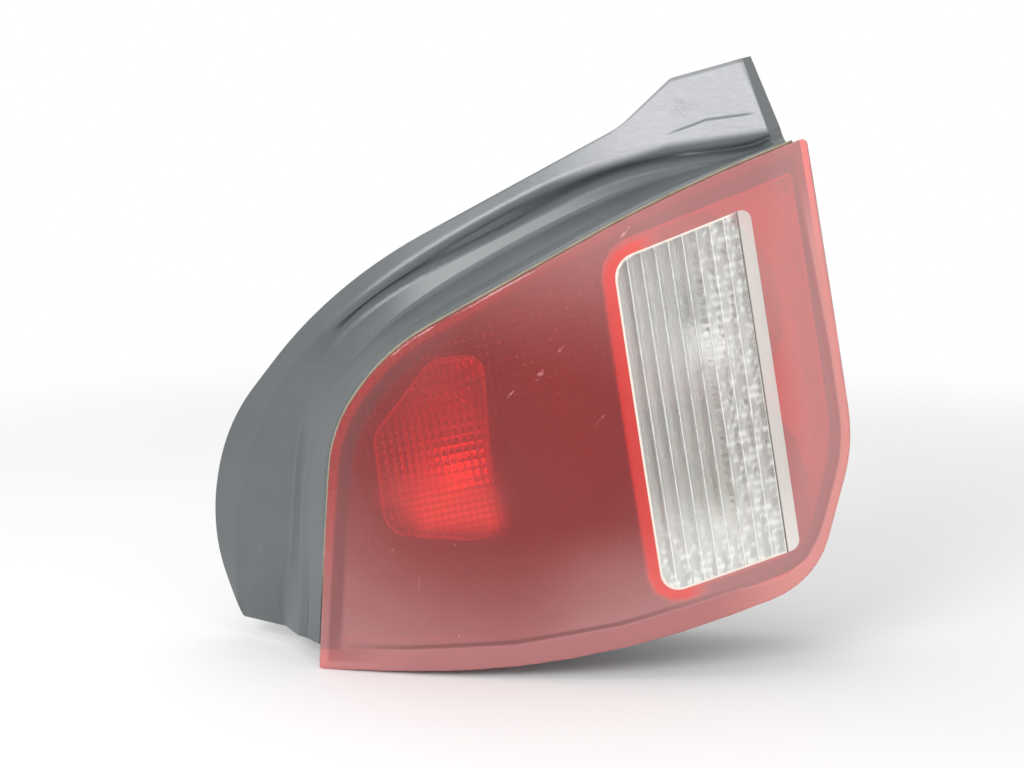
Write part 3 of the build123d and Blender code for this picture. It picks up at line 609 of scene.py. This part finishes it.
def makeLens():
    look = redLens
    outline, window = rounded(look["outline"]), rounded(look["window"])
    form = lensSheet(look, outline, window)
    made = bmesh.ops.extrude_face_region(form, geom=form.faces[:], use_keep_orig=True)
    backs = [item for item in made["geom"] if isinstance(item, bmesh.types.BMFace)]
    movers = {item for item in made["geom"] if isinstance(item, bmesh.types.BMVert)}
    plain = [rim + look["plainBorder"] for rim in look["rim"]]
    fieldCuts = sideCuts(rounded(inset(look["outline"], plain)))
    windowCuts = sideCuts(window)
    edgeCuts = sideCuts(outline)
    for vert in form.verts:  # front edge rounded back in steps
        if vert not in movers:
            gap = min((point - vert.co).dot(outward) for point, outward in edgeCuts)
            vert.co.y = next((drop for reach, drop in look["edgeSteps"] if gap < reach + look["slack"]), 0.0)
    bmesh.ops.translate(form, verts=list(movers), vec=(0, look["wall"], 0))
    bmesh.ops.recalc_face_normals(form, faces=form.faces)
    split = Vector((look["split"][0], 0, look["split"][1]))
    slope = math.tan(math.radians(look["rowLean"]))
    seams = set()
    stopCuts = sideCuts(rounded(look["stopMouth"]))
    for pitch in look["rowPitch"]:
        small = min(pitch, look["columnPitch"])
        cells = {1.0: [], look["lowShare"]: []}
        for face in backs:
            middle = face.calc_center_median()
            upper = middle.z - split.z > (middle.x - split.x) * slope
            full = face.calc_area() > look["wholeCell"] * look["columnPitch"] * pitch
            if upper == (pitch == look["rowPitch"][0]) and full and len(face.verts) == 4:
                if inside(middle, fieldCuts) and not inside(middle, windowCuts, look["windowBorder"]):
                    bright = inside(middle, stopCuts, look["stopMargin"])
                    cells[1.0 if bright else look["lowShare"]].append(face)
        for height, faces in cells.items():
            seams.update(edge for face in faces for edge in face.edges)
            for step, climb in look["cushion"]:
                bmesh.ops.inset_individual(form, faces=faces, thickness=step * small,
                                           depth=climb * small * height, use_even_offset=True)
    addTongue(form, look)
    bmesh.ops.recalc_face_normals(form, faces=form.faces)
    for edge in form.edges:
        edge.smooth = edge not in seams and edge.calc_face_angle(0.0) < look["sharpAngle"]
    for face in form.faces:
        face.smooth = True
    for vert in form.verts:
        vert.co.y = lensY(vert.co.x, vert.co.z, vert.co.y)
    newPiece("red_lens", form, redFinish(), "red_lens", "outer_lens")


makeLens()


def closeEnds(form):  # fills both ends of a tube, and smooths its wall
    bmesh.ops.holes_fill(form, edges=[edge for edge in form.edges if edge.is_boundary])
    bmesh.ops.recalc_face_normals(form, faces=form.faces)
    for face in form.faces:
        face.smooth = len(face.verts) == 4


def lathe(x, z, rows, steps):  # a profile of (y, radius) rows turned about an axis along y
    form = bmesh.new()
    chain = [form.verts.new((x + radius, y, z)) for y, radius in rows]
    edges = [form.edges.new(pair) for pair in zip(chain, chain[1:])]
    bmesh.ops.spin(form, geom=chain + edges, cent=(x, 0, z), axis=(0, 1, 0), angle=2 * math.pi, steps=steps,
                   use_merge=True)
    return form


beadLook = {"out": 0.5 * mm, "radius": 0.9 * mm, "depth": 4.2 * mm, "step": 4 * mm, "sides": 10,
            "corners": (6, 28), "foot": -172 * mm}


def makeBead():  # squeezed-out sealing bead along the inner and upper edge of the lens
    look = beadLook
    line = rounded(inset(redLens["outline"], [-look["out"]] * len(redLens["outline"])))
    line = line[look["corners"][0]:look["corners"][1] + 1]
    spots = []
    for first, second in zip(line, line[1:]):
        count = max(1, round((second - first).length / look["step"]))
        spots += [first.lerp(second, i / count) for i in range(count)]
    spots = [spot for spot in spots if spot.y > look["foot"]]
    path = [Vector((spot.x, lensY(spot.x, spot.y, look["depth"]), spot.y)) for spot in spots]
    form = bmesh.new()
    ring = bmesh.ops.create_circle(form, segments=look["sides"], radius=look["radius"])["verts"]
    edges = form.edges[:]
    last = Matrix.Identity(4)
    for i, here in enumerate(path):
        ahead = (path[min(i + 1, len(path) - 1)] - path[max(i - 1, 0)]).normalized()
        side = ahead.cross(Vector((0, 1, 0))).normalized()
        if i > 0:
            made = bmesh.ops.extrude_edge_only(form, edges=edges)["geom"]
            ring = [item for item in made if isinstance(item, bmesh.types.BMVert)]
            edges = [item for item in made if isinstance(item, bmesh.types.BMEdge)]
        place = Matrix((side.cross(ahead), side, ahead)).transposed().to_4x4()
        place.translation = here
        bmesh.ops.transform(form, matrix=place @ last.inverted(), verts=ring)
        last = place
    closeEnds(form)
    newPiece("seal_edge", form, paleSeal, "seal_bead")


makeBead()

studLook = {
    "places": {"stud_main": (0, 0), "stud_lower": (-0.072, -0.138), "stud_outer": (0.146, -0.028)},
    "crest": 3 * mm, "root": 2.45 * mm, "pitch": 1 * mm, "plain": 1.5 * mm, "length": 20 * mm,
    "tip": 0.8 * mm, "collar": (4.5 * mm, 7 * mm), "collarBevel": 0.3 * mm, "sides": 32, "rowsPerPitch": 8,
    "flank": (2.2, 0.6), "sharpAngle": 0.6, "slack": 0.01 * mm,
}


def threadRadius(look, height, turn):  # trapezium thread, running out at both ends
    phase = (height / look["pitch"] - turn / (2 * math.pi)) % 1
    steep, groove = look["flank"]
    share = min(1.0, max(0.0, steep * abs(2 * phase - 1) - groove))
    share = max(share, 1 - (height - look["plain"]) / look["pitch"])
    radius = look["root"] + (look["crest"] - look["root"]) * share
    return min(radius, look["crest"] - look["tip"] + look["length"] - height)


def makeStuds():
    look = studLook
    steel = metalFinish("zincPlate", paint(206, 204, 196), paint(160, 158, 150), 0.3)
    collar, depth = look["collar"]
    bevel = look["collarBevel"]
    rows = [(-depth, collar - bevel), (bevel - depth, collar), (-bevel, collar), (0.0, collar - bevel)]
    rows += [(0.0, look["crest"]), (look["plain"], look["crest"])]
    threaded = look["length"] - look["plain"]
    count = round(threaded / look["pitch"] * look["rowsPerPitch"])
    rows += [(look["plain"] + threaded * i / count, look["crest"]) for i in range(1, count + 1)]
    for name, (x, z) in look["places"].items():
        form = lathe(x, z, rows, look["sides"])
        for vert in form.verts:
            if vert.co.y > look["plain"] + look["slack"]:
                out = Vector((vert.co.x - x, vert.co.z - z))
                out *= threadRadius(look, vert.co.y, math.atan2(out.y, out.x)) / out.length
                vert.co = (x + out.x, vert.co.y, z + out.y)
        closeEnds(form)
        for edge in form.edges:
            edge.smooth = edge.calc_face_angle(0.0) < look["sharpAngle"]
        newPiece(name + "_thread", form, steel, "stud_steel", name)


makeStuds()

facetLook = {
    "bowls": scaled([(92, 12), (106, -88)]), "centre": -86 * mm, "radius": 63.6 * mm, "wall": 0.25 * mm,
    "hole": 13.7 * mm, "reach": 62 * mm, "sectors": 30, "rings": 6, "shelf": 19 * mm,
    "mouth": ([-5 * mm, -6 * mm, -58 * mm, -1 * mm], [9.5 * mm] * 4 + [13 * mm] * 2 + [20 * mm] * 2),
}


def makeFacets():  # flat mirror facets that line the two signal bowls
    look = facetLook
    mouth = sideCuts(rounded(inset(redLens["window"], look["mouth"][0]), 3))
    mouth += sideCuts(rounded(inset(redLens["outline"], look["mouth"][1]), 3))
    for i, (x, z) in enumerate(look["bowls"]):
        centre = Vector((x, look["centre"], z))
        band = (look["reach"] - look["hole"]) / look["rings"]
        reaches = [look["hole"] + band * ring for ring in range(look["rings"] + 1)]
        rows = [(look["centre"] + (look["radius"] ** 2 - reach ** 2) ** 0.5, reach) for reach in reaches]
        form = lathe(x, z, rows, look["sectors"])
        other = Vector((look["bowls"][1 - i][0], look["centre"], look["bowls"][1 - i][1]))
        slopeX = (lensY(x + mm, z) - lensY(x, z)) / mm
        slopeZ = (lensY(x, z + mm) - lensY(x, z)) / mm
        slope = Vector((slopeX, -1, slopeZ))
        shelf = Vector((x, lensY(x, z) + look["shelf"], z))
        trim(form, mouth + [((centre + other) / 2, (other - centre).normalized()), (shelf, slope)], True)
        for face in form.faces:
            face.normal_update()
            if face.normal.dot(centre - face.calc_center_median()) < 0:
                face.normal_flip()
        bmesh.ops.solidify(form, geom=form.faces[:], thickness=look["wall"])
        bmesh.ops.recalc_face_normals(form, faces=form.faces)
        newPiece(("reverse", "indicator")[i] + "_facets", form, signalMirror, "reflector")


makeFacets()

stageLook = {
    "floor": (0.93, 0.93, 0.93, 1), "floorGrain": (0.91, 0.91, 0.915, 1), "floorSize": 6.0,
    "fade": (0.5, 1.1), "room": 0.7, "bounces": 14,
    "lamps": {  # place, target, size in metres and power in watts
        "keyLamp": ((-0.6, -1.2, 0.75), (0, 0, -0.04), 0.8, 11),
        "topLamp": ((-0.2, 0.1, 1.5), (0, 0, 0), 1.4, 6),
    },
}


def stageFinish():
    finish, place = newFinish("paleFloor")
    x, y, z = place.axes()
    grain = place.noise(3, 3).rise(0.3, 0.8)
    colour = grain.tint(stageLook["floor"], stageLook["floorGrain"])
    near = ((x * x + y * y) ** 0.5).fall(*stageLook["fade"])
    shader = place.add("BsdfPrincipled", {}, {"Base Color": colour, "Roughness": 0.8, "Alpha": near,
                                              "Specular IOR Level": 0.1})
    return closeFinish(finish, shader)


def makeFloor():
    form = bmesh.new()
    bmesh.ops.create_grid(form, x_segments=1, y_segments=1, size=stageLook["floorSize"] / 2)
    bmesh.ops.translate(form, verts=form.verts, vec=(0, 0, cadBox[0].z))
    mesh = bpy.data.meshes.new("floor")
    form.to_mesh(mesh)
    form.free()
    floor = bpy.data.objects.new("floor", mesh)
    bpy.context.scene.collection.objects.link(floor)
    mesh.materials.append(stageFinish())


def lightRoom():
    world = bpy.data.worlds.new("whiteRoom")
    bpy.context.scene.world = world
    world.use_nodes = True
    world.node_tree.nodes.clear()
    start = Wire(world.node_tree)
    path = start.add("LightPath").socket.node
    kinds = ("Is Camera Ray", "Is Glossy Ray", "Is Transmission Ray")
    seen, shiny, clear = [Wire(world.node_tree, path.outputs[kind]) for kind in kinds]
    white = (seen + shiny + clear).least(1.0)
    light = start.add("Background", {}, {"Color": (1, 1, 1, 1),
                                         "Strength": stageLook["room"] + white * (1 - stageLook["room"])})
    start.add("OutputWorld", {}, {"Surface": light})


def softLamp(name, place, target, size, power):
    lamp = bpy.data.lights.new(name, "AREA")
    lamp.shape, lamp.size, lamp.energy = "DISK", size, power
    holder = bpy.data.objects.new(name, lamp)
    holder.location = place
    holder.rotation_mode = "QUATERNION"
    holder.rotation_quaternion = (Vector(target) - Vector(place)).to_track_quat("-Z", "Y")
    bpy.context.scene.collection.objects.link(holder)


cameraLook = {"eye": (0.0776, -0.8235, 0.1059), "target": (0.0, -0.085, -0.025),
              "lens": 50.98, "film": 36.0}


def setCamera():
    lens = bpy.data.cameras.new("photoView")
    lens.lens, lens.sensor_width = cameraLook["lens"], cameraLook["film"]
    camera = bpy.data.objects.new("photoView", lens)
    camera.location = cameraLook["eye"]
    camera.rotation_mode = "QUATERNION"
    aim = Vector(cameraLook["target"]) - Vector(cameraLook["eye"])
    camera.rotation_quaternion = aim.to_track_quat("-Z", "Y")
    bpy.context.scene.collection.objects.link(camera)
    bpy.context.scene.camera = camera


makeFloor()
lightRoom()
for name, settings in stageLook["lamps"].items():
    softLamp(name, *settings)
setCamera()
scene = bpy.context.scene
scene.view_settings.view_transform = "Standard"
scene.cycles.use_denoising = True
scene.cycles.max_bounces = scene.cycles.transmission_bounces = stageLook["bounces"]
print("stage, lamps and camera done")
